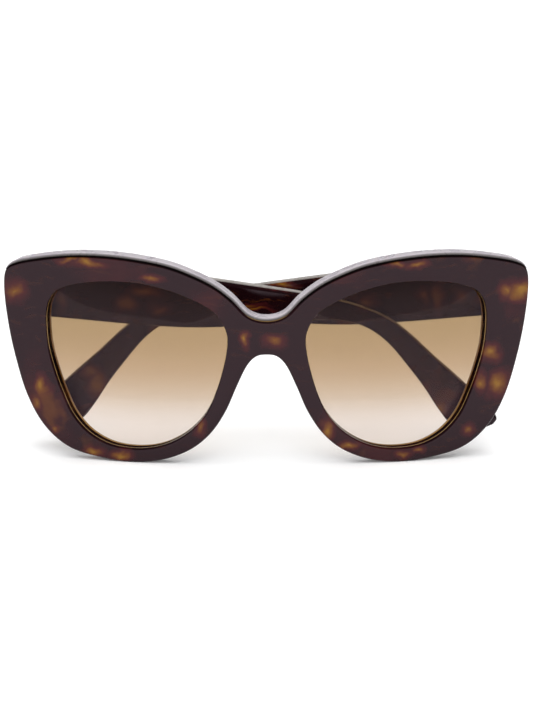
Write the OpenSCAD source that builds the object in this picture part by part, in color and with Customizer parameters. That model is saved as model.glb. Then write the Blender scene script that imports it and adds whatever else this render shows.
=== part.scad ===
// Cat eye sunglasses: a wrapped acetate front with two lenses and two folding temples.
// X runs along the front (+X is the wearer's left), -Y is the way the front faces, Z is up.
// The lower rims stand on Z = 0, and Y = 0 is in the middle of the depth of the folded sunglasses.
// Both temples are folded, the left one over the right one.

/* [Front] */
// Width of the front over its outer tips
front_width = 146.6; // [138:0.2:152]
// Height of the front from the lower rims to the brow
front_height = 58.4; // [52:0.1:64]
// Radius that the front wraps around
wrap_radius = 190; // [150:5:260]
// Depth of the front over the lenses
front_depth = 5; // [4:0.1:6]
// Extra depth of the front at the bridge
bridge_depth = 1; // [0:0.1:2]

/* [Lenses] */
// Thickness of each lens
lens_thick = 2; // [1.6:0.1:2.4]
// How far each lens bulges past the wrap of the front
lens_dome = 1.8; // [0.5:0.1:3]
// How deep the lens groove goes into the rim
groove_deep = 0.75; // [0.4:0.05:1]

/* [Pearl edge] */
// Height of the pearl strip along the brow
front_trim_high = 0.85; // [0.3:0.05:1]
// Height of the pearl strip along each temple
temple_trim_high = 0.4; // [0.2:0.05:0.8]

/* [Temples] */
// Thickness of a temple from the hinge to the middle
temple_thick = 3.8; // [3.4:0.1:4.6]
// Thickness of a temple at the tip
tip_thick = 3.2; // [2.8:0.1:4]
// How far the right temple turns from folded to open
right_swing = 92.3; // [88:0.1:95]
// How far the left temple turns from resting on the right one to open
left_swing = 88.4; // [84:0.1:92]

/* [Hinges] */
// Distance of each hinge axis from the middle of the front
hinge_x = 67.3; // [64:0.1:70]
// Distance of the hinge axes behind the foremost part of the front
hinge_y = 20; // [19:0.1:22]
// Height of the middle of each hinge
hinge_z = 46; // [42:0.5:50]
// Outer radius of the knuckles
knuckle_r = 1.5; // [1.2:0.1:1.8]
// Height of one knuckle
knuckle_high = 1.4; // [1:0.1:2]
// Radius of the hinge screw
screw_r = 0.7; // [0.5:0.05:0.9]

/* [Part] */
// Which sub-part to draw

/* [Hidden] */
$fn = 32;
radian = 180 / PI;

acetate = [0.16, 0.09, 0.07];
pearl = [0.83, 0.79, 0.84];
lens_brown = [0.78, 0.66, 0.53, 0.8];
steel = [0.72, 0.71, 0.69];

// The outlines below are drawn for a front with these flat half width and height, and are scaled to fit.
drawn_half = 75.3;
drawn_high = 58.4;
wide = wrap_radius * asin(front_width / 2 / wrap_radius) / radian / drawn_half;
high = front_height / drawn_high;

// Half of the outer outline, from the middle of the bridge over the brow, round and back under the bridge.
// Each point has its partner at the same place in the list of the lens opening.
outer_knots = [[0, 41.2], [5.2, 42.6], [10, 47.3], [15, 51], [21, 53.9], [28, 56.3], [37, 57.8], [46, 58.4],
    [55, 58.1], [64, 56.8], [71.3, 55], [74.6, 52.8], [75.3, 47.5], [74.2, 38], [72, 28], [68.5, 17.3],
    [63.3, 8.8], [56, 3.2], [46, 0.7], [37, 0], [28.5, 1.2], [21.1, 4.3], [15.6, 9], [11.4, 15.4],
    [8.4, 22.3], [5.6, 28.2], [3, 31], [0, 31.6]];
opening_knots = [[11.1, 37.5], [12.3, 40.4], [14.6, 43.5], [18.6, 46], [23.4, 48.1], [28.6, 49.8], [36, 51.2],
    [45, 51.3], [53.2, 50.2], [59, 48.1], [61.6, 45], [62.5, 41.6], [62.6, 38], [62, 31.7], [60.2, 25.2],
    [57.9, 19.1], [54.7, 12.7], [50, 7.8], [43.8, 4.8], [36.7, 4], [30.2, 4.9], [24.5, 7.4], [19.7, 11.2],
    [16.1, 16.1], [13.6, 22.3], [11.9, 28.4], [11.2, 32], [10.9, 35]];
knots = len(outer_knots);
steps = 4;
stations = (knots - 1) * steps;

// Rounding of the rim's edges, and the lens groove measured back from the front face.
outer_round = 0.7;
opening_round = 0.4;
groove_at = 2.4;
groove_half = 0.9;
fit_gap = 0.1;
touch_gap = 0.02;

function scaled(p) = [p[0] * wide, p[1] * high];
function curve(a, b, c, d, t) = (2 * b + (c - a) * t + (2 * a - 5 * b + 4 * c - d) * t * t
    + (3 * b - a - 3 * c + d) * t * t * t) / 2;
function reflected(p) = [-p[0], p[1]];
function outer_knot(i) = scaled(i < 0 ? reflected(outer_knots[-i]) : i >= knots
    ? reflected(outer_knots[2 * (knots - 1) - i]) : outer_knots[i]);
function opening_knot(i) = scaled(opening_knots[(i + knots) % knots]);
function outer_at(n) = let (i = floor(n / steps), t = n / steps - i)
    curve(outer_knot(i - 1), outer_knot(i), outer_knot(i + 1), outer_knot(i + 2), t);
function opening_at(n) = let (i = floor(n / steps), t = n / steps - i)
    curve(opening_knot(i - 1), opening_knot(i), opening_knot(i + 1), opening_knot(i + 2), t);
// The outlines run clockwise, so a quarter turn to the right of the way along points into the outer outline.
function inward(a, b) = let (along = (b - a) / norm(b - a)) [along[1], -along[0]];
function outer_normal(n) = inward(outer_at(n - 0.5), outer_at(n + 0.5));
function opening_normal(n) = -inward(opening_at(n - 0.5), opening_at(n + 0.5));

// The flat drawing wrapped round a cylinder: p is a place in the drawing and depth runs backwards.
foremost = -14.3;
hinge_axis = [hinge_x, foremost + hinge_y, 0];
function wrapped(p, depth) = let (turn = p[0] / wrap_radius * radian, r = wrap_radius - depth)
    [r * sin(turn), foremost + wrap_radius - r * cos(turn), p[1]];
function depth_at(p) = front_depth + bridge_depth * exp(-pow(p[0] / 14, 2));

// Two triangles across the gap between two rows of points.
function strip(a, b, c, d) = [[a, b, c], [a, c, d]];
function flipped(faces) = [for (f = faces) [f[2], f[1], f[0]]];

// The rim cut across at one station, from its outer edge over the face, the opening and the back.
function rim_section(n) = let (
    o = outer_at(n), i = opening_at(n), on = outer_normal(n), in = opening_normal(n),
    back = depth_at(o), inner_back = depth_at(i), corner = 1 - sqrt(0.5), r = outer_round, q = opening_round)
    [wrapped(o, r), wrapped(o + on * r * corner, r * corner), wrapped(o + on * r, 0),
    wrapped(i + in * q, 0), wrapped(i + in * q * corner, q * corner), wrapped(i, q),
    wrapped(i, groove_at - groove_half), wrapped(i + in * groove_deep, groove_at),
    wrapped(i, groove_at + groove_half),
    wrapped(i, inner_back - q), wrapped(i + in * q * corner, inner_back - q * corner),
    wrapped(i + in * q, inner_back), wrapped(o + on * r, back),
    wrapped(o + on * r * corner, back - r * corner), wrapped(o, back - r)];
section_points = 15;
first_face_point = 2;
last_face_point = 11;

function rim_faces(base) = [
    for (n = [0:stations - 1], j = [0:section_points - 1]) let (k = (j + 1) % section_points,
        a = base + n * section_points, b = a + section_points) each strip(a + j, b + j, b + k, a + k),
    for (j = [first_face_point:last_face_point]) let (a = base + stations * section_points)
        each strip(a + j, base + j, base + j + 1, a + j + 1)];

module rim_blank() {
    half = [for (n = [0:stations]) each rim_section(n)];
    other = [for (p = half) [-p[0], p[1], p[2]]];
    polyhedron(concat(half, other), concat(flipped(rim_faces(0)), rim_faces(len(half))));
}

// A closed solid through rows of points that all have the same number, with flat ends.
module loft(rows) {
    count = len(rows[0]);
    last = (len(rows) - 1) * count;
    polyhedron([for (row = rows) each row], concat(
        [for (n = [0:len(rows) - 2], j = [0:count - 1]) let (k = (j + 1) % count, a = n * count, b = a + count)
            each strip(a + j, a + k, b + k, b + j)],
        [[for (j = [count - 1:-1:0]) j], [for (j = [0:count - 1]) last + j]]));
}

// The pearl strip lies along the brow from tip to tip.
trim_end = 11 * steps;
trim_inset = 0.6;
trim_edge = 0.2;
function trim_row(side, n) = let (
    p = outer_at(n), up = -outer_normal(n), back = depth_at(p) - trim_inset, top = front_trim_high,
    places = [[touch_gap, trim_inset], [top - trim_edge, trim_inset], [top, trim_inset + trim_edge],
        [top, back - trim_edge], [top - trim_edge, back], [touch_gap, back]])
    [for (c = places) let (w = wrapped(p + up * c[0], c[1])) [side * w[0], w[1], w[2]]];

module front_top_trim() {
    rows = [for (n = [trim_end:-1:1]) trim_row(-1, n), for (n = [0:trim_end]) trim_row(1, n)];
    color(pearl) loft(rows);
}

// One lens: rings that shrink from the rim to the middle, domed forwards, with a bevel in the groove.
lens_rings = [1, 0.82, 0.6, 0.35];
lens_middle = scaled([37, 28]);
lens_stations = knots * steps;
function lens_point(n, ring, depth) = let (
    edge = opening_at(n) - opening_normal(n) * fit_gap, p = lens_middle + (edge - lens_middle) * ring)
    wrapped(p, depth - lens_dome * (1 - ring * ring));

module lens_shape() {
    front = groove_at - groove_half + fit_gap;
    rear = front + lens_thick - 2 * fit_gap;
    count = len(lens_rings) * 2 + 1;
    rows = [for (n = [0:lens_stations - 1]) each concat(
        [for (ring = [len(lens_rings) - 1:-1:0]) lens_point(n, lens_rings[ring], front)],
        [wrapped(opening_at(n) + opening_normal(n) * (groove_deep - fit_gap), groove_at)],
        [for (ring = lens_rings) lens_point(n, ring, rear)])];
    front_middle = len(rows);
    points = concat(rows, [wrapped(lens_middle, front - lens_dome), wrapped(lens_middle, rear - lens_dome)]);
    faces = [for (n = [0:lens_stations - 1]) let (a = n * count, b = (n + 1) % lens_stations * count) each concat(
        [[front_middle, a, b], [front_middle + 1, b + count - 1, a + count - 1]],
        [for (j = [0:count - 2]) each strip(a + j, a + j + 1, b + j + 1, b + j)])];
    polyhedron(points, flipped(faces));
}

module lens_left() { color(lens_brown) lens_shape(); }
module lens_right() { color(lens_brown) mirror([1, 0, 0]) lens_shape(); }

// A nose pad is a smooth bump glued to the back of the rim beside the bridge.
pad_middle = scaled([12.5, 17]);
pad_long = 6.5;
pad_wide = 1.6;
pad_high = 3.4;
pad_lean = 118;
pad_sides = 24;
pad_levels = [0, 0.4, 0.7, 0.9, 0.98];
function pad_point(level, turn) = let (
    shrink = sqrt(1 - level * level), a = pad_long * shrink * cos(turn), b = pad_wide * shrink * sin(turn),
    p = pad_middle + [a * cos(pad_lean) - b * sin(pad_lean), a * sin(pad_lean) + b * cos(pad_lean)])
    wrapped(p, depth_at(p) + touch_gap + pad_high * level);

module nose_pad_shape() {
    loft([for (level = pad_levels) [for (j = [0:pad_sides - 1]) pad_point(level, -360 * j / pad_sides)]]);
}

module nose_pad_left() { color(acetate) nose_pad_shape(); }
module nose_pad_right() { color(acetate) mirror([1, 0, 0]) nose_pad_shape(); }

// Hinges: three knuckles on the front and two on the temple, round one screw.
knuckle_gap = 0.1;
bore_gap = 0.05;
knuckle_pitch = knuckle_high + knuckle_gap;
hinge_low = hinge_z - 2.5 * knuckle_pitch + knuckle_gap / 2;
hinge_tall = 5 * knuckle_pitch - knuckle_gap;
leaf_long = 4;
leaf_thick = 1;
leaf_start = 1;
tab_thick = 1.3;
pocket_gap = 0.05;
anchor_r = 0.6;
anchor_deep = 1.8;
anchor_place = -3;
// The leaf on the front lies along the back of the wrapped front.
leaf_turn = asin((hinge_x - 2.5) / (wrap_radius - front_depth));
back_of_front = wrap_radius - front_depth - norm([hinge_x, wrap_radius - hinge_y]);
leaf_sunk = 0.5;

module knuckles(rows) {
    for (i = rows) translate([0, 0, hinge_low + i * knuckle_pitch])
        difference() {
            children();
            translate([0, 0, -1]) cylinder(r = screw_r + bore_gap, h = knuckle_high + 2);
        }
}

module box_between(low, up) { translate(low) cube(up - low); }

module front_leaf_space(gap) {
    low = -back_of_front - leaf_sunk;
    box_between([-leaf_start - leaf_long - gap, low - gap, hinge_low - gap],
        [-leaf_start + gap, low + leaf_thick + gap, hinge_low + hinge_tall + gap]);
    translate([anchor_place, low, hinge_z]) rotate([90, 0, 0])
        cylinder(r = anchor_r + gap, h = anchor_deep + gap);
}

module at_front_leaf() { translate(hinge_axis) rotate([0, 0, leaf_turn]) children(); }

module front_hinge_shape() {
    at_front_leaf() {
        front_leaf_space(0);
        knuckles([0, 2, 4]) union() {
            cylinder(r = knuckle_r, h = knuckle_high);
            box_between([-leaf_start - 0.5, -back_of_front + 0.2, 0], [0, -back_of_front + 0.2 + tab_thick,
                knuckle_high]);
        }
    }
}

module front_hinge_left() { color(steel) front_hinge_shape(); }
module front_hinge_right() { color(steel) mirror([1, 0, 0]) front_hinge_shape(); }

screw_head_r = 1.25;
screw_head_high = 0.7;
slot_wide = 0.35;
slot_deep = 0.35;
module hinge_screw_shape() {
    top = hinge_low + hinge_tall + touch_gap;
    translate(hinge_axis) difference() {
        union() {
            translate([0, 0, hinge_low]) cylinder(r = screw_r, h = hinge_tall + 0.1);
            translate([0, 0, top]) cylinder(r = screw_head_r, h = screw_head_high);
        }
        box_between([-2, -slot_wide / 2, top + screw_head_high - slot_deep], [2, slot_wide / 2, top + 2]);
    }
}

module hinge_screw_left() { color(steel) hinge_screw_shape(); }
module hinge_screw_right() { color(steel) mirror([1, 0, 0]) hinge_screw_shape(); }

module front_frame() {
    color(acetate) difference() {
        rim_blank();
        for (side = [0, 1]) mirror([side, 0, 0]) at_front_leaf() front_leaf_space(pocket_gap);
    }
}

// Temples are drawn open: Y runs back along the temple from the hinge axis and X points outwards.
// Each pair of points is the upper and the lower edge at one place, from the butt to the tip.
upper_edge = [[0, 54.2], [15, 52.9], [32, 51], [50, 48.5], [65, 46.4], [79, 44.3], [89, 42.1], [96, 39.9],
    [102, 37], [107.8, 32.5], [113.8, 26.8], [120, 21.3], [126, 15.8], [130.2, 11.9], [132, 9.2], [131.3, 7.7]];
lower_edge = [[0, 38], [14, 36.8], [29, 35.5], [45, 34.6], [60, 35.1], [73, 36.4], [84, 37.2], [91, 36.5],
    [96.8, 34.2], [101.8, 30.2], [106.5, 24.6], [111.4, 18.1], [115.6, 11.6], [119.4, 7], [123.6, 5.6],
    [127.8, 6.2]];
temple_knots = len(upper_edge);
temple_steps = 3;
temple_stations = (temple_knots - 1) * temple_steps;
temple_inner = 1.8;
temple_round = 0.9;
thin_from = 55;
thin_to = 100;
butt_lean = 0.4;
butt_start = -2.03;
butt_blend = 8;

function edge_knot(list, i) = i < 0 ? 2 * list[0] - list[1] : i >= temple_knots
    ? 2 * list[temple_knots - 1] - list[temple_knots - 2] : list[i];
function edge_at(list, n) = let (i = min(floor(n / temple_steps), temple_knots - 2), t = n / temple_steps - i,
    p = curve(edge_knot(list, i - 1), edge_knot(list, i), edge_knot(list, i + 1), edge_knot(list, i + 2), t))
    [p[0], p[1] * high];
function eased(t) = let (c = max(0, min(1, t))) c * c * (3 - 2 * c);
function thick_at(y) = temple_thick + (tip_thick - temple_thick) * eased((y - thin_from) / (thin_to - thin_from));
// Near the hinge the cross-section leans, so that the butt meets the slanted back of the front.
function leaned(x, p) = let (share = max(0, 1 - p[0] / butt_blend))
    [x, p[0] + share * (butt_start + butt_lean * x), p[1]];

function temple_row(n) = let (
    up = edge_at(upper_edge, n), low = edge_at(lower_edge, n), rise = norm(up - low), r = min(temple_round, rise / 3),
    c = 1 - sqrt(0.5), inner = temple_inner, outer = inner + thick_at((up[0] + low[0]) / 2),
    places = [[inner, r], [inner + r * c, r * c], [inner + r, 0], [outer - r, 0], [outer - r * c, r * c], [outer, r],
        [outer, rise - r], [outer - r * c, rise - r * c], [outer - r, rise], [inner + r, rise],
        [inner + r * c, rise - r * c], [inner, rise - r]])
    [for (q = places) leaned(q[0], up + (low - up) * q[1] / rise)];

module temple_blank() { loft([for (n = [0:temple_stations]) temple_row(n)]); }

// A steel wire runs along the middle of each temple in a close channel.
wire_r = 0.7;
wire_start = 4;
wire_sides = 8;
wire_rows = [for (n = [wire_start:2:temple_stations - 5]) n];
function wire_middle(n) = let (up = edge_at(upper_edge, n), low = edge_at(lower_edge, n), p = (up + low) / 2)
    [temple_inner + thick_at(p[0]) * 0.55, p[0], p[1]];
function wire_row(n, r) = let (
    m = wire_middle(n), up = edge_at(upper_edge, n) - edge_at(lower_edge, n), dir = up / norm(up))
    [for (j = [0:wire_sides - 1]) let (a = 360 * j / wire_sides)
        m + [r * cos(a), r * sin(a) * dir[0], r * sin(a) * dir[1]]];

module wire_shape(r) { loft([for (n = wire_rows) wire_row(n, r)]); }

temple_leaf_low = 0.9;
temple_leaf_sunk = 0.5;
temple_leaf_start = 1.8;
temple_leaf_long = 4;
temple_anchor = 4;
module temple_leaf_space(gap) {
    box_between([temple_leaf_low, temple_leaf_start - gap, hinge_low - gap],
        [temple_inner + temple_leaf_sunk + gap, temple_leaf_start + temple_leaf_long + gap,
            hinge_low + hinge_tall + gap]);
    translate([temple_inner, temple_anchor, hinge_z]) rotate([0, 90, 0])
        cylinder(r = anchor_r + gap, h = anchor_deep + gap);
}

module temple_shape() {
    difference() {
        temple_blank();
        temple_leaf_space(pocket_gap);
        wire_shape(wire_r + fit_gap);
    }
}

module temple_hinge_shape() {
    temple_leaf_space(0);
    knuckles([1, 3]) union() {
        cylinder(r = knuckle_r, h = knuckle_high);
        box_between([0.2, 0, 0], [0.2 + tab_thick, temple_leaf_start + 0.5, knuckle_high]);
    }
}

// The pearl strip lies along the upper edge of each temple.
temple_trim_first = 1;
temple_trim_last = 13 * temple_steps;
temple_trim_inset = 0.5;
temple_trim_edge = 0.15;
function temple_trim_row(n) = let (
    up = edge_at(upper_edge, n), low = edge_at(lower_edge, n), dir = (up - low) / norm(up - low),
    inner = temple_inner + temple_trim_inset + temple_round / 2,
    outer = temple_inner + thick_at((up[0] + low[0]) / 2) - temple_trim_inset - temple_round / 2,
    top = temple_trim_high,
    places = [[inner, touch_gap], [inner, top - temple_trim_edge], [inner + temple_trim_edge, top],
        [outer - temple_trim_edge, top], [outer, top - temple_trim_edge], [outer, touch_gap]])
    [for (q = places) leaned(q[0], up + dir * q[1])];

module temple_trim_shape() {
    loft([for (n = [temple_trim_first:temple_trim_last]) temple_trim_row(n)]);
}

module folded_left() { translate(hinge_axis) rotate([0, 0, left_swing]) children(); }
module folded_right() {
    mirror([1, 0, 0]) translate(hinge_axis) rotate([0, 0, right_swing]) children();
}

module temple_left() { color(acetate) folded_left() temple_shape(); }
module temple_right() { color(acetate) folded_right() temple_shape(); }
module temple_top_trim_left() { color(pearl) folded_left() temple_trim_shape(); }
module temple_top_trim_right() { color(pearl) folded_right() temple_trim_shape(); }
module temple_hinge_left() { color(steel) folded_left() temple_hinge_shape(); }
module temple_hinge_right() { color(steel) folded_right() temple_hinge_shape(); }
module core_wire_left() { color(steel) folded_left() wire_shape(wire_r); }
module core_wire_right() { color(steel) folded_right() wire_shape(wire_r); }

front_frame();
front_top_trim();
lens_right();
lens_left();
nose_pad_right();
nose_pad_left();
front_hinge_right();
front_hinge_left();
hinge_screw_right();
hinge_screw_left();
temple_right();
temple_left();
temple_top_trim_right();
temple_top_trim_left();
temple_hinge_right();
temple_hinge_left();
core_wire_right();
core_wire_left();
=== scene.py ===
"""Cat eye sunglasses with folded temples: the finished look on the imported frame."""
import math

import bmesh
import bpy
from mathutils import Matrix, Vector


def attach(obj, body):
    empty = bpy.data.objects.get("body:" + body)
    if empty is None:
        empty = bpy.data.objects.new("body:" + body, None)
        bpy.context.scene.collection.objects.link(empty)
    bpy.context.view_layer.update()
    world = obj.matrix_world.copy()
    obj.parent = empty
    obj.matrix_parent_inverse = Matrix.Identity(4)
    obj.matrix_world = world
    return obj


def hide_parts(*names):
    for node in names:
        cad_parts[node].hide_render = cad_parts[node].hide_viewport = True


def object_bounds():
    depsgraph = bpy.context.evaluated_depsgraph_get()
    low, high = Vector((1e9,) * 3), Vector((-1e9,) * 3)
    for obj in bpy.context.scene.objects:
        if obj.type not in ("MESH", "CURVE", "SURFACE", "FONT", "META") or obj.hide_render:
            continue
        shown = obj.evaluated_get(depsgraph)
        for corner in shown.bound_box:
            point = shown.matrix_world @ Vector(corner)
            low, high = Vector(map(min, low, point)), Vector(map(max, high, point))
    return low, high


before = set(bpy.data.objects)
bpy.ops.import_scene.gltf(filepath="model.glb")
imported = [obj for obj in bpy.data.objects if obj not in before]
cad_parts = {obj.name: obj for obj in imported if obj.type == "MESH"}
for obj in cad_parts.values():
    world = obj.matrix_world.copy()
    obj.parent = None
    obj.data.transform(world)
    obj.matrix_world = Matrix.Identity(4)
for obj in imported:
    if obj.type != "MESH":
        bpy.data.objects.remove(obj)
cad_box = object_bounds()

# Lengths are written in millimetres, as on the drawing, and turned into metres by MM.
MM = 0.001

# The front: half of its outer outline and the lens opening, as flat (across, up) pairs.
OUTER = [(0, 41.2), (5.2, 42.6), (10, 47.3), (15, 51), (21, 53.9), (28, 56.3), (37, 57.8), (46, 58.4),
         (55, 58.1), (64, 56.8), (71.3, 55), (74.6, 52.8), (75.3, 47.5), (74.2, 38), (72, 28), (68.5, 17.3),
         (63.3, 8.8), (56, 3.2), (46, 0.7), (37, 0), (28.5, 1.2), (21.1, 4.3), (15.6, 9), (11.4, 15.4),
         (8.4, 22.3), (5.6, 28.2), (3, 31), (0, 31.6)]
OPENING = [(11.1, 37.5), (12.3, 40.4), (14.6, 43.5), (18.6, 46), (23.4, 48.1), (28.6, 49.8), (36, 51.2),
           (45, 51.3), (53.2, 50.2), (59, 48.1), (61.6, 45), (62.5, 41.6), (62.6, 38), (62, 31.7),
           (60.2, 25.2), (57.9, 19.1), (54.7, 12.7), (50, 7.8), (43.8, 4.8), (36.7, 4), (30.2, 4.9),
           (24.5, 7.4), (19.7, 11.2), (16.1, 16.1), (13.6, 22.3), (11.9, 28.4), (11.2, 32), (10.9, 35)]
KNOTS = len(OUTER)
FINE = 10
FRONT_WIDTH = 146.6
WRAP_RADIUS = 190
DRAWN_HALF = 75.3
FOREMOST = -14.3
FRONT_DEPTH = 5
BRIDGE_DEPTH = 1
OUTER_ROUND = 0.7
OPENING_ROUND = 0.4
GROOVE_AT = 2.4
GROOVE_HALF = 0.9
GROOVE_DEEP = 0.75

# Depths on the wall of an opening where a line starts and ends: the thin amber one in front of the lens,
# the wide amber one behind it, and a painted highlight, a light line, on the polished back edge.
THIN_LINE = (1.05, 1.3)
WIDE_LINE = (3.5, 4.2)
PAINTED_HIGHLIGHT_LINE = (4.3, 4.75)
WALL_DEPTHS = [1.0, 1.1, 1.25, 1.35, GROOVE_AT - GROOVE_HALF, GROOVE_AT, GROOVE_AT + GROOVE_HALF,
               3.6, 3.9, 4.1]

WIDE = WRAP_RADIUS * math.asin(FRONT_WIDTH / 2 / WRAP_RADIUS) / DRAWN_HALF
ARC_STEPS = 5
FACE_STEPS = 5

# The lenses.
LENS_THICK = 2
LENS_DOME = 1.8
LENS_MIDDLE = Vector((37 * WIDE, 28))
LENS_RINGS = 24
FIT_GAP = 0.1

# The pearl strips.
FRONT_TRIM_HIGH = 0.85
FRONT_TRIM_INSET = 0.6
FRONT_TRIM_LAST = 11
TEMPLE_TRIM_HIGH = 0.4
TEMPLE_TRIM_INSET = 0.95
TEMPLE_TRIM_LAST = 13
TOUCH_GAP = 0.02

# The temples, drawn open: pairs of points on the upper and lower edge, from the butt to the tip.
UPPER_EDGE = [(0, 54.2), (15, 52.9), (32, 51), (50, 48.5), (65, 46.4), (79, 44.3), (89, 42.1), (96, 39.9),
              (102, 37), (107.8, 32.5), (113.8, 26.8), (120, 21.3), (126, 15.8), (130.2, 11.9), (132, 9.2),
              (131.3, 7.7)]
LOWER_EDGE = [(0, 38), (14, 36.8), (29, 35.5), (45, 34.6), (60, 35.1), (73, 36.4), (84, 37.2), (91, 36.5),
              (96.8, 34.2), (101.8, 30.2), (106.5, 24.6), (111.4, 18.1), (115.6, 11.6), (119.4, 7),
              (123.6, 5.6), (127.8, 6.2)]
TEMPLE_INNER = 1.8
TEMPLE_THICK = 3.8
TIP_THICK = 3.2
THIN_FROM = 55
THIN_TO = 100
TEMPLE_ROUND = 0.9
BUTT_LEAN = 0.4
BUTT_START = -2.03
BUTT_BLEND = 8
HINGE_X = 67.3
HINGE_Y = 20
LEFT_SWING = 88.4
RIGHT_SWING = 92.3

# The nose pads.
PAD_MIDDLE = Vector((12.5 * WIDE, 17))
PAD_LONG = 6.5
PAD_WIDE = 1.6
PAD_HIGH = 3.4
PAD_LEAN = math.radians(118)
PAD_SIDES = 48
PAD_LEVELS = 14

# The camera looks at the middle of the front from straight ahead and a little above.
CAMERA_TARGET = Vector((0, -8 * MM, 30 * MM))
CAMERA_AZIMUTH = math.radians(-0.4)
CAMERA_ELEVATION = math.radians(13.7)
CAMERA_DISTANCE = 1.5
CAMERA_LENS = 273.3


# ---------------------------------------------------------------- curves

def between(a, b, c, d, t):
    """The smooth curve from b to c, which also heeds the points before and after."""
    line = 2 * b + (c - a) * t
    bend = (2 * a - 5 * b + 4 * c - d) * t * t
    twist = (3 * b - a - 3 * c + d) * t * t * t
    return (line + bend + twist) / 2


def outer_knot(i):
    flip = i < 0 or i >= KNOTS
    if i < 0:
        i = -i
    if i >= KNOTS:
        i = 2 * (KNOTS - 1) - i
    across, up = OUTER[i]
    return Vector((-across if flip else across, up))


def scaled(p):
    return Vector((p[0] * WIDE, p[1]))


def outer_at(n):
    i = math.floor(n)
    return scaled(between(*[outer_knot(i + k) for k in (-1, 0, 1, 2)], n - i))


def opening_knot(i):
    return Vector(OPENING[i % KNOTS])


def opening_at(n):
    i = math.floor(n)
    return scaled(between(*[opening_knot(i + k) for k in (-1, 0, 1, 2)], n - i))


def inward(a, b):
    """A quarter turn to the right of the way from a to b."""
    along = (b - a).normalized()
    return Vector((along.y, -along.x))


def outer_normal(n):
    return inward(outer_at(n - 0.12), outer_at(n + 0.12))


def opening_normal(n):
    return -inward(opening_at(n - 0.12), opening_at(n + 0.12))


def wrapped(across, up, depth):
    """A place on the flat drawing, bent round the wrap of the front."""
    turn = across / WRAP_RADIUS
    radius = WRAP_RADIUS - depth
    return Vector((radius * math.sin(turn), FOREMOST + WRAP_RADIUS - radius * math.cos(turn), up))


def depth_at(p):
    return FRONT_DEPTH + BRIDGE_DEPTH * math.exp(-(p[0] / 14) ** 2)


def arc(radius):
    """Quarter round as (inset, depth) pairs, from the side to the face."""
    turns = [math.pi / 2 * k / ARC_STEPS for k in range(ARC_STEPS + 1)]
    return [(radius * (1 - math.cos(t)), radius * (1 - math.sin(t))) for t in turns]


def eased(t):
    t = max(0.0, min(1.0, t))
    return t * t * (3 - 2 * t)


# ---------------------------------------------------------------- pieces

def make_piece(name, points, faces, body, node, material, marks=None, sharp=50):
    """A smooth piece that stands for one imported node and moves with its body."""
    mesh = bpy.data.meshes.new(name)
    mesh.from_pydata([tuple(p * MM) for p in points], [], faces)
    if marks:
        attribute = mesh.attributes.new("edge", "FLOAT", "POINT")
        attribute.data.foreach_set("value", marks)
    work = bmesh.new()
    work.from_mesh(mesh)
    bmesh.ops.remove_doubles(work, verts=work.verts, dist=0.002 * MM)
    bmesh.ops.recalc_face_normals(work, faces=work.faces)
    work.to_mesh(mesh)
    work.free()
    mesh.polygons.foreach_set("use_smooth", [True] * len(mesh.polygons))
    mesh.set_sharp_from_angle(angle=math.radians(sharp))
    mesh.materials.append(material)
    piece = bpy.data.objects.new(name, mesh)
    bpy.context.scene.collection.objects.link(piece)
    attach(piece, body)
    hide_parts(node)
    return piece


def band_faces(rows, size, closed=False):
    """Quads round a run of closed rows that all have the same number of points."""
    count = rows if closed else rows - 1
    faces = []
    for n in range(count):
        low = n * size
        high = (n + 1) % rows * size
        for j in range(size):
            k = (j + 1) % size
            faces.append((low + j, low + k, high + k, high + j))
    return faces


def loft(rows):
    """Points and faces of a closed solid through rows of points, with flat ends."""
    size = len(rows[0])
    points = [p for row in rows for p in row]
    faces = band_faces(len(rows), size)
    faces.append(tuple(range(size)))
    faces.append(tuple(len(points) - 1 - j for j in range(size)))
    return points, faces


def wall_marks(depth):
    """Where amber (1) and the painted highlight line (2) show on the wall of the opening."""
    if PAINTED_HIGHLIGHT_LINE[0] < depth < PAINTED_HIGHLIGHT_LINE[1]:
        return 2.0
    thin = THIN_LINE[0] < depth < THIN_LINE[1]
    wide = WIDE_LINE[0] < depth < WIDE_LINE[1]
    return 1.0 if thin or wide else 0.0


def rim_face(outer_edge, opening_edge, depth):
    """Points across the flat face of the rim, without its two ends."""
    places = [outer_edge.lerp(opening_edge, k / FACE_STEPS) for k in range(1, FACE_STEPS)]
    return [(p.x, p.y, depth) for p in places]


def rim_opening(n):
    """The section of the opening's wall from the front face to the back face, with the lens groove."""
    place = opening_at(n)
    normal = opening_normal(n)
    back = depth_at(place)
    rounding = arc(OPENING_ROUND)
    steps = [(inset, depth) for inset, depth in reversed(rounding)]
    steps += [(GROOVE_DEEP if depth == GROOVE_AT else 0, depth) for depth in WALL_DEPTHS]
    steps += [(inset, back - depth) for inset, depth in rounding]
    flat = [place + normal * inset for inset, depth in steps]
    return [(p.x, p.y, depth) for p, (inset, depth) in zip(flat, steps)]


def rim_outside(n):
    """The two rounded outer edges: one run from the side to the face, one from the back to the side."""
    place = outer_at(n)
    normal = outer_normal(n)
    back = depth_at(place)
    rounding = [(place + normal * inset, depth) for inset, depth in arc(OUTER_ROUND)]
    front = [(p.x, p.y, depth) for p, depth in rounding]
    rear = [(p.x, p.y, back - depth) for p, depth in reversed(rounding)]
    return front, rear


def rim_section(n):
    """One section of the rim and the places where its seam with the middle of the bridge starts and ends."""
    front, rear = rim_outside(n)
    wall = rim_opening(n)
    face = rim_face(Vector(front[-1][:2]), Vector(wall[0][:2]), 0)
    back = rim_face(Vector(wall[-1][:2]), Vector(rear[0][:2]), rear[0][2])
    section = front + face + wall + back + rear
    return section, len(front) - 1, len(section) - len(rear)


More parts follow.
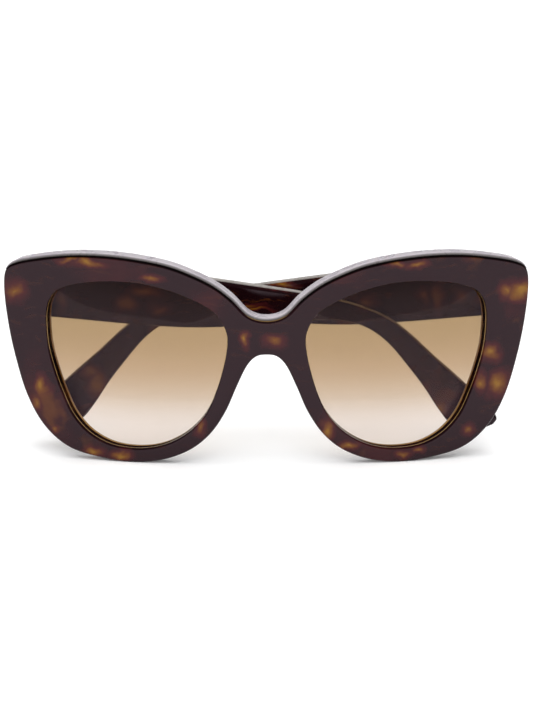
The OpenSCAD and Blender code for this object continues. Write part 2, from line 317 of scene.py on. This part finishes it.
def bridge_section(share):
    """A section beside the middle of the bridge, where the rim has no outer edge of its own."""
    low = outer_at(KNOTS - 1).y + OUTER_ROUND
    high = outer_at(0).y - OUTER_ROUND
    seam = Vector((0, low + (high - low) * share))
    wall = rim_opening(KNOTS - 1 + share)
    face = rim_face(seam, Vector(wall[0][:2]), 0)
    back = rim_face(Vector(wall[-1][:2]), seam, depth_at(seam))
    return [(seam.x, seam.y, 0)] + face + wall + back + [(seam.x, seam.y, depth_at(seam))]


def brow_amber_and_painted_dark(n):
    """Marks of the rounded front edge under the pearl strip, at each of its points: a little amber near the
    bridge, and further out a painted dark reflection, near black, as if the edge mirrored the dim overhead.
    """
    if n < 1.4:
        return [0.45 * (1 - eased((k - 1) / 2)) * (1 - eased((n - 0.8) / 0.6)) for k in range(ARC_STEPS + 1)]
    # Below zero: the painted dark reflection along the brow.
    share = eased((n - 1.4) / 0.6) * (1 - eased((n - FRONT_TRIM_LAST + 0.5) / 1.5))
    return [-share * (1 - eased((k - 3) / 2)) for k in range(ARC_STEPS + 1)]


def section_marks(section, first, last, brow):
    """The marks of a section: those of the brow at its start, and those of the wall of the opening."""
    marks = brow + [0.0] * (len(section) - len(brow))
    for j in range(first + FACE_STEPS, last - FACE_STEPS + 1):
        marks[j] = wall_marks(section[j][2])
    return marks


def half_front():
    """Points, marks and faces of the wearer's left half of the front."""
    rows = (KNOTS - 1) * FINE + 1
    flat = []
    marks = []
    for n in range(rows):
        section, first, last = rim_section(n / FINE)
        flat += section
        marks += section_marks(section, first, last, brow_amber_and_painted_dark(n / FINE))
    size = len(section)
    faces = band_faces(rows, size)
    inner = [[(rows - 1) * size + j for j in range(first, last + 1)]]
    for k in range(1, FINE):
        start = len(flat)
        section = bridge_section(k / FINE)
        flat += section
        marks += section_marks(section, 0, len(section) - 1, [])
        inner.append(list(range(start, len(flat))))
    inner.append(list(range(first, last + 1)))
    for a, b in zip(inner, inner[1:]):
        for j in range(len(a) - 1):
            faces.append((a[j], a[j + 1], b[j + 1], b[j]))
    return [wrapped(*p) for p in flat], marks, faces


def build_front(material):
    points, marks, faces = half_front()
    count = len(points)
    other = [Vector((-p.x, p.y, p.z)) for p in points]
    mirrored = [tuple(count + i for i in reversed(f)) for f in faces]
    make_piece("front_acetate", points + other, faces + mirrored, "front", "front_frame",
               material, marks + marks, sharp=40)


def trim_corner(high, low, near, far, edge):
    """A flat strip's section with two softened upper corners, as (height, depth) pairs."""
    turns = [math.pi / 2 * k / ARC_STEPS for k in range(ARC_STEPS + 1)]
    first = [(high - edge + edge * math.sin(t), near + edge - edge * math.cos(t)) for t in turns]
    second = [(high - edge + edge * math.cos(t), far - edge + edge * math.sin(t)) for t in turns]
    return [(low, near)] + first + second + [(low, far)]


def front_trim_painted_shade():
    """Painted shade: the strip darkens down its front face and goes near black at the foot of its front and
    back faces.
    """
    upper = 2 * (ARC_STEPS + 1)
    return [1.0, 0.5, 0.35, 0.2] + [0.0] * (upper - 3) + [1.0]


def front_trim_row(side, n):
    place = outer_at(n)
    up = -outer_normal(n)
    back = depth_at(place) - FRONT_TRIM_INSET
    high = FRONT_TRIM_HIGH * (1 - 0.75 * eased((n - FRONT_TRIM_LAST + 1.2) / 1.2))
    edge = min(0.25, high * 0.6)
    row = []
    for rise, depth in trim_corner(high, TOUCH_GAP - 0.1, FRONT_TRIM_INSET, back, edge):
        flat = place + up * rise
        point = wrapped(flat.x, flat.y, depth)
        row.append(Vector((side * point.x, point.y, point.z)))
    return row


def build_front_trim(material):
    stations = [k / FINE for k in range(FRONT_TRIM_LAST * FINE + 1)]
    rows = [front_trim_row(-1, n) for n in reversed(stations[1:])]
    rows += [front_trim_row(1, n) for n in stations]
    points, faces = loft(rows)
    marks = front_trim_painted_shade() * len(rows)
    make_piece("front_pearl_strip", points, faces, "front", "front_top_trim", material, marks)


def lens_point(n, ring, depth):
    edge = opening_at(n) - opening_normal(n) * FIT_GAP
    p = LENS_MIDDLE.lerp(edge, ring)
    return wrapped(p.x, p.y, depth - LENS_DOME * (1 - ring * ring))


def build_lens(side, name, node, material):
    """A domed lens with a bevelled edge that sits in the groove."""
    front = GROOVE_AT - GROOVE_HALF + FIT_GAP
    rear = front + LENS_THICK - 2 * FIT_GAP
    rings = [k / LENS_RINGS for k in range(1, LENS_RINGS + 1)]
    rows = []
    for k in range(KNOTS * FINE):
        n = k / FINE
        bevel = opening_at(n) + opening_normal(n) * (GROOVE_DEEP - FIT_GAP)
        row = [lens_point(n, r, front) for r in rings]
        row.append(wrapped(bevel.x, bevel.y, GROOVE_AT))
        row += [lens_point(n, r, rear) for r in reversed(rings)]
        rows.append(row)
    size = len(rows[0])
    points = [p for row in rows for p in row]
    faces = []
    for k in range(len(rows)):
        low = k * size
        high = (k + 1) % len(rows) * size
        for j in range(size - 1):
            faces.append((low + j, low + j + 1, high + j + 1, high + j))
        faces.append((len(points), low, high))
        faces.append((len(points) + 1, high + size - 1, low + size - 1))
    points.append(wrapped(LENS_MIDDLE.x, LENS_MIDDLE.y, front - LENS_DOME))
    points.append(wrapped(LENS_MIDDLE.x, LENS_MIDDLE.y, rear - LENS_DOME))
    points = [Vector((side * p.x, p.y, p.z)) for p in points]
    make_piece(name, points, faces, "front", node, material, sharp=35)


def pad_point(level, turn):
    """A nose pad's skin: steep at its foot, and domed where it touches the nose."""
    shrink = math.sqrt(max(0.0, 1 - level * level)) * (1 + 0.12 * (1 - level) ** 3)
    a = PAD_LONG * shrink * math.cos(turn)
    b = PAD_WIDE * shrink * math.sin(turn)
    lean_cos = math.cos(PAD_LEAN)
    lean_sin = math.sin(PAD_LEAN)
    p = PAD_MIDDLE + Vector((a * lean_cos - b * lean_sin, a * lean_sin + b * lean_cos))
    return wrapped(p.x, p.y, depth_at(p) - 0.1 + PAD_HIGH * level)


def build_pad(side, name, node, material):
    levels = [math.sin(math.pi / 2 * k / PAD_LEVELS) for k in range(PAD_LEVELS)]
    turns = [2 * math.pi * j / PAD_SIDES for j in range(PAD_SIDES)]
    rows = [[pad_point(level, t) for t in turns] for level in levels]
    points, faces = loft(rows)
    points = [Vector((side * p.x, p.y, p.z)) for p in points]
    make_piece(name, points, faces, "front", node, material, [0.15] * len(points))


# ---------------------------------------------------------------- temples

def edge_at(knots, n):
    i = min(math.floor(n), len(knots) - 2)
    places = []
    for k in (i - 1, i, i + 1, i + 2):
        if k < 0:
            places.append(2 * Vector(knots[0]) - Vector(knots[1]))
        elif k >= len(knots):
            places.append(2 * Vector(knots[-1]) - Vector(knots[-2]))
        else:
            places.append(Vector(knots[k]))
    return between(*places, n - i)


def thick_at(along):
    share = eased((along - THIN_FROM) / (THIN_TO - THIN_FROM))
    return TEMPLE_THICK + (TIP_THICK - TEMPLE_THICK) * share


def leaned(outwards, p):
    """Near the hinge the sections lean, so that the butt meets the slanted back of the front."""
    share = max(0.0, 1 - p.x / BUTT_BLEND)
    return Vector((outwards, p.x + share * (BUTT_START + BUTT_LEAN * outwards), p.y))


def temple_row(n):
    up = edge_at(UPPER_EDGE, n)
    low = edge_at(LOWER_EDGE, n)
    rise = (up - low).length
    r = min(TEMPLE_ROUND, rise / 3)
    inner = TEMPLE_INNER
    outer = inner + thick_at((up.x + low.x) / 2)
    rounding = arc(r)
    places = [(inner + a, b) for a, b in rounding]
    places += [(outer - a, b) for a, b in reversed(rounding)]
    sides = [r + (rise - 2 * r) * k / 6 for k in range(1, 6)]
    places += [(outer, s) for s in sides]
    places += [(outer - a, rise - b) for a, b in rounding]
    places += [(inner + a, rise - b) for a, b in reversed(rounding)]
    places += [(inner, s) for s in reversed(sides)]
    return [leaned(x, up.lerp(low, s / rise)) for x, s in places]


def temple_trim_row(n):
    up = edge_at(UPPER_EDGE, n)
    low = edge_at(LOWER_EDGE, n)
    rise = (up - low).normalized()
    inner = TEMPLE_INNER + TEMPLE_TRIM_INSET
    outer = TEMPLE_INNER + thick_at((up.x + low.x) / 2) - TEMPLE_TRIM_INSET
    end = eased((n - TEMPLE_TRIM_LAST + 2) / 2)
    high = TEMPLE_TRIM_HIGH * (1 - 0.7 * end)
    section = trim_corner(high, -0.1, inner, outer, min(0.18, high * 0.5))
    return [leaned(x, up + rise * s) for s, x in section]


def folded(side):
    """Where a temple that was drawn open lies when it is folded."""
    swing = LEFT_SWING if side > 0 else RIGHT_SWING
    turn = Matrix.Rotation(math.radians(swing), 4, "Z")
    place = Matrix.Translation((HINGE_X, FOREMOST + HINGE_Y, 0)) @ turn
    return Matrix.Diagonal((side, 1, 1, 1)) @ place


def build_temple(side, word, acetate, pearl):
    place = folded(side)
    body = word + "_temple"
    last = len(UPPER_EDGE) - 1
    rows = [temple_row(k / FINE) for k in range(last * FINE + 1)]
    points, faces = loft(rows)
    points = [place @ p for p in points]
    make_piece(body + "_acetate", points, faces, body, "temple_" + word, acetate)
    rows = [temple_trim_row(k / FINE) for k in range(3, TEMPLE_TRIM_LAST * FINE + 1)]
    points, faces = loft(rows)
    points = [place @ p for p in points]
    make_piece(body + "_pearl_strip", points, faces, body, "temple_top_trim_" + word, pearl)


# ---------------------------------------------------------------- materials

class Sheet:
    """A material's node sheet, with short calls to add and join nodes."""

    def __init__(self, name):
        self.material = bpy.data.materials.new(name)
        self.material.use_nodes = True
        self.tree = self.material.node_tree
        self.shader = self.tree.nodes["Principled BSDF"]

    def add(self, kind, settings=None, **sockets):
        node = self.tree.nodes.new(kind)
        for key, value in (settings or {}).items():
            setattr(node, key, value)
        for key, value in sockets.items():
            self.set(node.inputs[key.replace("_", " ")], value)
        return node

    def set(self, socket, value):
        if isinstance(value, bpy.types.NodeSocket):
            self.tree.links.new(value, socket)
        else:
            socket.default_value = value

    def math(self, operation, a, b=0.0):
        node = self.tree.nodes.new("ShaderNodeMath")
        node.operation = operation
        self.set(node.inputs[0], a)
        self.set(node.inputs[1], b)
        return node.outputs[0]

    def vector(self, operation, a, b=(0, 0, 0)):
        node = self.tree.nodes.new("ShaderNodeVectorMath")
        node.operation = operation
        self.set(node.inputs[0], a)
        self.set(node.inputs[1], b)
        return node.outputs["Value" if operation == "LENGTH" else "Vector"]

    def place(self):
        return self.add("ShaderNodeTexCoord").outputs["Object"]

    def noise(self, place, scale, detail=2.0, colour=False):
        node = self.add("ShaderNodeTexNoise", Vector=place, Scale=scale, Detail=detail)
        return node.outputs["Color" if colour else "Fac"]

    def ramp(self, value, low, high, start=0.0, end=1.0):
        """value eased from start to end while it goes from low to high."""
        node = self.add("ShaderNodeMapRange", {"interpolation_type": "SMOOTHSTEP"}, Value=value)
        node.inputs["From Min"].default_value = low
        node.inputs["From Max"].default_value = high
        node.inputs["To Min"].default_value = start
        node.inputs["To Max"].default_value = end
        return node.outputs["Result"]

    def mix(self, share, a, b):
        node = self.add("ShaderNodeMix", {"data_type": "RGBA"})
        self.set(node.inputs[0], share)
        for socket, colour in ((node.inputs[6], a), (node.inputs[7], b)):
            self.set(socket, colour if isinstance(colour, bpy.types.NodeSocket) else (*colour, 1))
        return node.outputs[2]

    def attribute(self, name):
        return self.add("ShaderNodeAttribute", {"attribute_name": name}).outputs["Fac"]

    def bump(self, height, strength, distance):
        node = self.add("ShaderNodeBump", Height=height, Strength=strength, Distance=distance)
        self.set(self.shader.inputs["Normal"], node.outputs["Normal"])


# Spots of amber in the front's acetate: across, up, half width, half height in millimetres, and strength.
FRONT_SPOTS = [(-70, 47, 3, 3, 0.85), (-62.5, 20.5, 1.6, 3, 1.15), (-64, 15, 2.4, 2.4, 0.8),
               (-59, 8.5, 1.5, 1.5, 0.75), (-49.5, 56, 4, 1.2, 1.05), (-55, 57, 3, 1, 0.8),
               (-48, 3, 2.6, 1.4, 1.1), (-40.5, 2.2, 2.6, 1.2, 1.1), (-32, 52.5, 3, 1, 0.75),
               (-18.5, 10.5, 1.8, 2.2, 0.7), (-6.2, 36, 1, 1.8, 1.1), (2, 35.5, 3, 1.5, 0.72),
               (70.5, 47, 3.2, 2.2, 1.25), (66.5, 47, 1.6, 2, 0.9), (41.5, 56.3, 2.6, 1.2, 0.9),
               (36, 56.5, 3, 1, 0.75), (63, 29.5, 2, 2.4, 1.05), (60, 21.5, 1.6, 2.4, 0.95),
               (65, 20.3, 2.4, 2.8, 1.15), (17, 9.8, 1.8, 2.4, 1.1), (23, 4.6, 2.4, 1.3, 1.0),
               (38, 2.2, 2.2, 1.3, 0.78), (42, 3, 1.8, 1.1, 0.8), (56.5, 8, 2, 1.8, 0.75)]
# The same for the temples, as they lie folded.
TEMPLE_SPOTS = [(-39, 41.5, 2, 2, 1.5), (-34, 45, 4, 1.5, 1.1), (-30, 40.5, 3, 1.5, 0.95),
                (-57.5, 42.5, 1.2, 2.4, 1.2), (-31, 32.5, 1.6, 2.2, 1.1), (-47.5, 17.5, 1.8, 3, 1.5),
                (-50, 21, 2.4, 2, 1.1), (-47, 9, 2, 2, 0.95), (48.5, 43, 1.4, 3, 1.25),
                (44.5, 43, 1.6, 2, 1.0), (55, 43.5, 2, 2, 0.9), (-8, 41, 6, 0.7, 1.0), (-3, 40, 5, 0.5, 0.9),
                (4, 46.3, 4, 0.6, 0.9), (28, 41.5, 2.6, 2, 1.05),
                (21.5, 35, 2.2, 1.4, 1.2), (60, 42, 2, 2, 0.9), (49, 12, 2, 2.4, 1.1), (44, 17, 2, 2, 0.95)]

DARK = (0.009, 0.002, 0.003)
WINE = (0.045, 0.006, 0.006)
AMBER = (0.115, 0.038, 0.005)
GOLD = (0.20, 0.092, 0.009)
STREAK = (0.10, 0.028, 0.004)
EDGE_AMBER = (0.62, 0.40, 0.14)
# Colour of the painted highlight line on the polished back edge of each opening.
PAINTED_HIGHLIGHT = (0.52, 0.44, 0.34)

# What one face of a lens lets through, at shares of 60 mm up from the lower rims.
LENS_FADE = [(0.05, (0.92, 0.89, 0.865)), (0.16, (0.91, 0.87, 0.835)), (0.24, (0.85, 0.795, 0.742)),
             (0.31, (0.738, 0.66, 0.575)), (0.42, (0.655, 0.552, 0.432)), (0.54, (0.60, 0.496, 0.366)),
             (0.66, (0.57, 0.472, 0.333))]

# How much light a lens face mirrors when it is seen straight on.
LENS_MIRROR = 0.018


def tortoise(name, spots, streaks, dullest):
    """Polished tortoise acetate: near black, with wine clouds and amber spots that go right through."""
    sheet = Sheet(name)
    place = sheet.place()
    drift = sheet.vector("SUBTRACT", sheet.noise(place, 140.0, 3.0, True), (0.5, 0.5, 0.5))
    warped = sheet.vector("ADD", place, sheet.vector("MULTIPLY", drift, (0.0055, 0.0055, 0.0055)))
    near = -4.0
    for across, up, half_wide, half_high, strength in spots:
        offset = sheet.vector("SUBTRACT", warped, (across * MM, 0, up * MM))
        shaped = sheet.vector("MULTIPLY", offset, (1 / half_wide / MM, 0, 1 / half_high / MM))
        value = sheet.math("SUBTRACT", strength, sheet.vector("LENGTH", shaped))
        near = sheet.math("MAXIMUM", near, value)
    clouds = sheet.noise(warped, 42.0, 2.0)
    grains = sheet.noise(warped, 95.0, 2.0)
    wine = sheet.math("MAXIMUM", sheet.ramp(near, -1.0, 0.2), sheet.ramp(clouds, 0.53, 0.7, 0.0, 0.5))
    loose = sheet.math("MULTIPLY", sheet.ramp(grains, 0.6, 0.72), sheet.ramp(clouds, 0.5, 0.64, 0.0, 0.5))
    amber = sheet.math("MAXIMUM", sheet.ramp(near, -0.1, 0.6), loose)
    wisps = sheet.noise(sheet.vector("MULTIPLY", warped, (60, 500, 700)), 1.0, 3.0)
    colour = sheet.mix(wine, DARK, WINE)
    colour = sheet.mix(amber, colour, AMBER)
    colour = sheet.mix(sheet.ramp(near, 0.45, 1.05), colour, GOLD)
    colour = sheet.mix(sheet.ramp(wisps, 0.56, 0.7, 0.0, streaks), colour, STREAK)
    edge = sheet.attribute("edge")
    colour = sheet.mix(sheet.ramp(edge, 0.0, 1.0, 0.0, 0.85), colour, EDGE_AMBER)
    # Painted highlight: a light line on the polished back edge of the opening, where the mark is near 2.
    colour = sheet.mix(sheet.ramp(edge, 1.2, 2.0), colour, PAINTED_HIGHLIGHT)
    # Painted dark reflection: where the mark is below zero, the colour goes near black, on the brow's
    # rounded edge under the pearl strip.
    colour = sheet.mix(sheet.ramp(edge, -1.0, 0.0, 1.0, 0.0), colour, (0.001, 0.0005, 0.0005))
    sheet.set(sheet.shader.inputs["Base Color"], colour)
    smears = sheet.noise(place, 260.0, 4.0)
    sheet.set(sheet.shader.inputs["Roughness"], sheet.ramp(smears, 0.35, 0.7, dullest / 2, dullest))
    sheet.shader.inputs["IOR"].default_value = 1.365
    sheet.shader.inputs["Specular Tint"].default_value = (1.0, 0.8, 0.9, 1)
    sheet.bump(sheet.noise(place, 160.0, 1.0), 0.02, 0.0001)
    return sheet.material


def pearl_strip(name, shade, light):
    """Pale pearl laminate with soft lavender swirls."""
    sheet = Sheet(name)
    place = sheet.place()
    drift = sheet.vector("MULTIPLY", sheet.noise(place, 90.0, 3.0, True), (0.02, 0.02, 0.02))
    swirls = sheet.noise(sheet.vector("ADD", place, drift), 260.0, 4.0)
    colour = sheet.mix(sheet.ramp(swirls, 0.35, 0.7), shade, light)
    # Painted shade: where the mark is high, the pearl darkens near to black, at the foot of the front strip.
    colour = sheet.mix(sheet.ramp(sheet.attribute("edge"), 0.0, 1.0), colour, (0.03, 0.022, 0.018))
    sheet.set(sheet.shader.inputs["Base Color"], colour)
    sheet.set(sheet.shader.inputs["Roughness"], sheet.ramp(swirls, 0.3, 0.7, 0.22, 0.36))
    sheet.bump(sheet.noise(place, 1200.0, 2.0), 0.05, 0.0001)
    return sheet.material


def lens_glass():
    """Brown lens that fades to clear, as two thin mirrored faces that colour what shows through."""
    sheet = Sheet("lens_gradient_brown")
    tree = sheet.tree
    place = sheet.add("ShaderNodeSeparateXYZ", Vector=sheet.place())
    height = sheet.math("DIVIDE", place.outputs["Z"], 60 * MM)
    fade = sheet.add("ShaderNodeValToRGB", Fac=height)
    fade.color_ramp.interpolation = "B_SPLINE"
    for at, colour in LENS_FADE[1:-1]:
        fade.color_ramp.elements.new(at)
    for element, (at, colour) in zip(fade.color_ramp.elements, LENS_FADE):
        element.position = at
        element.color = (*colour, 1)
    through = sheet.add("ShaderNodeBsdfTransparent", Color=fade.outputs["Color"])
    smears = sheet.noise(sheet.place(), 120.0, 3.0)
    gloss = sheet.add("ShaderNodeBsdfGlossy", Roughness=sheet.ramp(smears, 0.4, 0.7, 0.03, 0.06))
    gloss.inputs["Color"].default_value = (1.0, 0.78, 0.95, 1)
    tilt = sheet.add("ShaderNodeLayerWeight", Blend=0.5).outputs["Facing"]
    share = sheet.math("MULTIPLY_ADD", sheet.math("POWER", tilt, 5.0), 1 - LENS_MIRROR)
    share.node.inputs[2].default_value = LENS_MIRROR
    mixed = sheet.add("ShaderNodeMixShader", Fac=share)
    tree.links.new(through.outputs[0], mixed.inputs[1])
    tree.links.new(gloss.outputs[0], mixed.inputs[2])
    tree.links.new(mixed.outputs[0], tree.nodes["Material Output"].inputs["Surface"])
    tree.nodes.remove(sheet.shader)
    return sheet.material


def brushed_steel():
    """Satin steel of the hinges and screws, with fine brushing and slight wear."""
    sheet = Sheet("hinge_steel")
    stretched = sheet.vector("MULTIPLY", sheet.place(), (1, 1, 12))
    lines = sheet.noise(stretched, 900.0, 3.0)
    dull = sheet.noise(sheet.place(), 350.0, 2.0)
    colour = sheet.mix(sheet.ramp(dull, 0.35, 0.7), (0.56, 0.54, 0.51), (0.70, 0.68, 0.64))
    sheet.set(sheet.shader.inputs["Base Color"], colour)
    sheet.shader.inputs["Metallic"].default_value = 1.0
    sheet.set(sheet.shader.inputs["Roughness"], sheet.ramp(lines, 0.3, 0.7, 0.24, 0.42))
    sheet.bump(lines, 0.08, 0.0001)
    return sheet.material


def finish_node(name, material, edge):
    """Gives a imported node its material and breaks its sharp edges."""
    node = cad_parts[name]
    node.data.materials.clear()
    node.data.materials.append(material)
    bevel = node.modifiers.new("edges", "BEVEL")
    bevel.width = edge * MM
    bevel.segments = 2
    bevel.limit_method = "ANGLE"
    bevel.angle_limit = math.radians(50)


# ---------------------------------------------------------------- studio

def build_floor():
    mesh = bpy.data.meshes.new("floor")
    reach = 0.8
    level = cad_box[0][2]
    corners = [(-reach, -reach, level), (reach, -reach, level)]
    corners += [(reach, reach, level), (-reach, reach, level)]
    mesh.from_pydata(corners, [], [(0, 1, 2, 3)])
    sheet = Sheet("floor_white")
    sheet.set(sheet.shader.inputs["Base Color"], (0.93, 0.93, 0.93, 1))
    sheet.shader.inputs["Roughness"].default_value = 0.9
    sheet.shader.inputs["Specular IOR Level"].default_value = 0.0
    sheet.shader.inputs["Emission Color"].default_value = (1, 1, 1, 1)
    sheet.shader.inputs["Emission Strength"].default_value = 0.1
    mesh.materials.append(sheet.material)
    floor = bpy.data.objects.new("floor", mesh)
    bpy.context.scene.collection.objects.link(floor)


def build_world():
    """A white studio backdrop, dim overhead so that polished edges mirror dark."""
    world = bpy.data.worlds.new("studio")
    world.use_nodes = True
    tree = world.node_tree
    place = tree.nodes.new("ShaderNodeTexCoord")
    split = tree.nodes.new("ShaderNodeSeparateXYZ")
    fade = tree.nodes.new("ShaderNodeMapRange")
    fade.interpolation_type = "SMOOTHSTEP"
    fade.inputs["From Min"].default_value = -0.05
    fade.inputs["From Max"].default_value = 0.2
    fade.inputs["To Min"].default_value = 1.0
    fade.inputs["To Max"].default_value = 0.08
    rays = tree.nodes.new("ShaderNodeLightPath")
    shown = tree.nodes.new("ShaderNodeMath")
    shown.operation = "MAXIMUM"
    tree.links.new(place.outputs["Generated"], split.inputs[0])
    tree.links.new(split.outputs["Z"], fade.inputs["Value"])
    tree.links.new(fade.outputs["Result"], shown.inputs[0])
    tree.links.new(rays.outputs["Is Camera Ray"], shown.inputs[1])
    tree.links.new(shown.outputs[0], tree.nodes["Background"].inputs["Strength"])
    tree.nodes["Background"].inputs["Color"].default_value = (1, 1, 1, 1)
    bpy.context.scene.world = world


def add_softbox(name, place, size, power, mirrored):
    """A square lamp that faces the glasses."""
    light = bpy.data.lights.new(name, "AREA")
    light.shape = "SQUARE"
    light.size = size
    light.energy = power
    lamp = bpy.data.objects.new(name, light)
    lamp.location = place
    lamp.rotation_euler = (CAMERA_TARGET - Vector(place)).to_track_quat("-Z", "Y").to_euler()
    lamp.visible_glossy = mirrored
    bpy.context.scene.collection.objects.link(lamp)


def build_camera():
    data = bpy.data.cameras.new("camera")
    data.lens = CAMERA_LENS
    data.sensor_width = 36
    data.clip_start = 0.05
    data.clip_end = 50
    camera = bpy.data.objects.new("camera", data)
    flat = math.cos(CAMERA_ELEVATION)
    across = math.sin(CAMERA_AZIMUTH) * flat
    back = Vector((across, -math.cos(CAMERA_AZIMUTH) * flat, math.sin(CAMERA_ELEVATION)))
    camera.location = CAMERA_TARGET + back * CAMERA_DISTANCE
    camera.rotation_euler = (-back).to_track_quat("-Z", "Y").to_euler()
    bpy.context.scene.collection.objects.link(camera)
    bpy.context.scene.camera = camera


# ---------------------------------------------------------------- the whole

front_acetate = tortoise("tortoise_front", FRONT_SPOTS, 0.1, 0.13)
temple_acetate = tortoise("tortoise_temples", TEMPLE_SPOTS, 0.45, 0.2)
front_pearl = pearl_strip("pearl_front", (0.43, 0.395, 0.43), (0.49, 0.455, 0.48))
# The temples' pearl is a darker, slightly more beige copy of the front's: painted shade for strips that lie
# in the front's shade.
shaded_temple_pearl = pearl_strip("pearl_temples_painted_shade", (0.29, 0.27, 0.25), (0.35, 0.325, 0.31))
glass = lens_glass()
steel = brushed_steel()

build_front(front_acetate)
build_front_trim(front_pearl)
build_lens(1, "left_lens_glass", "lens_left", glass)
build_lens(-1, "right_lens_glass", "lens_right", glass)
build_pad(1, "left_nose_pad_acetate", "nose_pad_left", front_acetate)
build_pad(-1, "right_nose_pad_acetate", "nose_pad_right", front_acetate)
build_temple(1, "left", temple_acetate, shaded_temple_pearl)
build_temple(-1, "right", temple_acetate, shaded_temple_pearl)
for word in ("left", "right"):
    finish_node("front_hinge_" + word, steel, 0.12)
    finish_node("temple_hinge_" + word, steel, 0.12)
    finish_node("hinge_screw_" + word, steel, 0.08)
    finish_node("core_wire_" + word, steel, 0.05)

build_floor()
build_world()
add_softbox("top_softbox", (0, 0.1, 1.6), 4.0, 80, False)
add_softbox("front_softbox", (0, -1.6, 1.0), 1.6, 20, False)
build_camera()
bpy.context.scene.view_settings.view_transform = "Standard"
